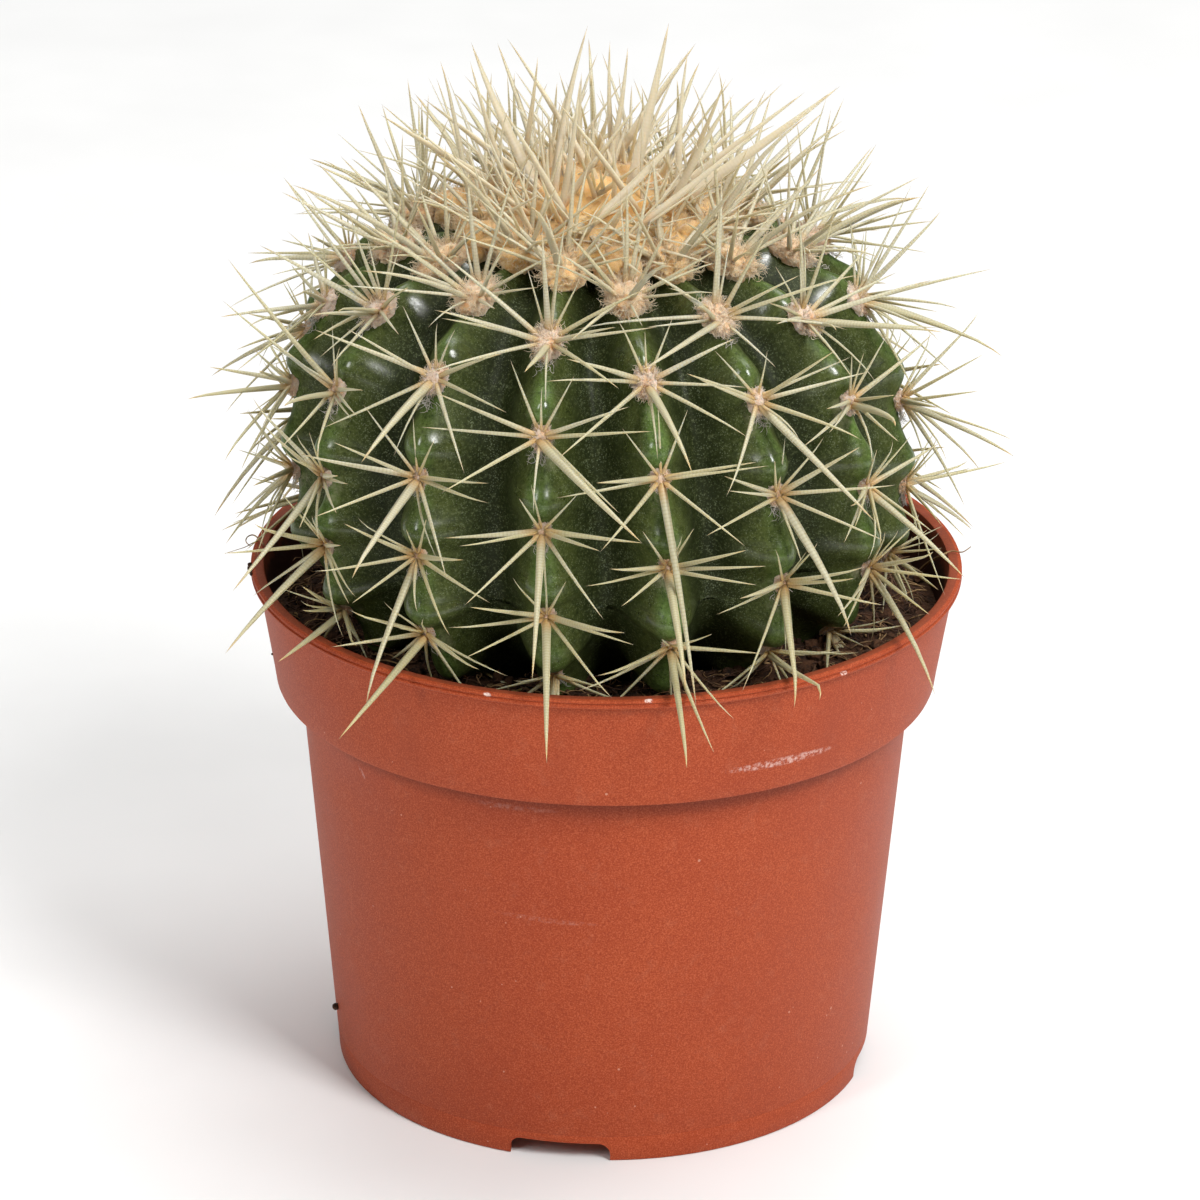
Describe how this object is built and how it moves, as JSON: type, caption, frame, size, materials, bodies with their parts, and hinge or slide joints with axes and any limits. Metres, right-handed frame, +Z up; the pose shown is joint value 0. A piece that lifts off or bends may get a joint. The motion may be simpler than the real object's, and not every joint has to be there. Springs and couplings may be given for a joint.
{
  "type": "potted round cactus",
  "caption": "Round ribbed cactus with golden wool and straw-coloured spines, growing in peat soil in a terracotta-coloured plastic nursery pot.",
  "frame": {"origin": "centre of the pot's foot, on the surface that the pot stands on", "axes": "+Z up along the pot's axis, -Y towards the side that the picture shows, +X to its right"},
  "size_m": [0.1388, 0.1429, 0.1789],
  "materials": {
    "pot_plastic": "fine-grained matt terracotta-coloured moulded polypropylene",
    "peat_soil": "dark moist fibrous peat",
    "root_tissue": "pale corky roots",
    "green_skin": "waxy dark green living skin with pale specks",
    "golden_wool": "felted cream to golden plant wool",
    "straw_spine": "satin straw-coloured spines with amber tips, in cream wool"
  },
  "bodies": {
    "root": {"pot": "pot_plastic", "soil": "peat_soil", "roots": "root_tissue", "stem": "green_skin", "crown": "golden_wool", "spine_row_01": "straw_spine", "spine_row_02": "straw_spine", "spine_row_03": "straw_spine", "spine_row_04": "straw_spine", "spine_row_05": "straw_spine", "spine_row_06": "straw_spine", "spine_row_07": "straw_spine", "spine_row_08": "straw_spine", "spine_row_09": "straw_spine", "spine_row_10": "straw_spine", "spine_row_11": "straw_spine", "spine_row_12": "straw_spine", "spine_row_13": "straw_spine", "spine_row_14": "straw_spine", "spine_row_15": "straw_spine"}
  },
  "joints": []
}
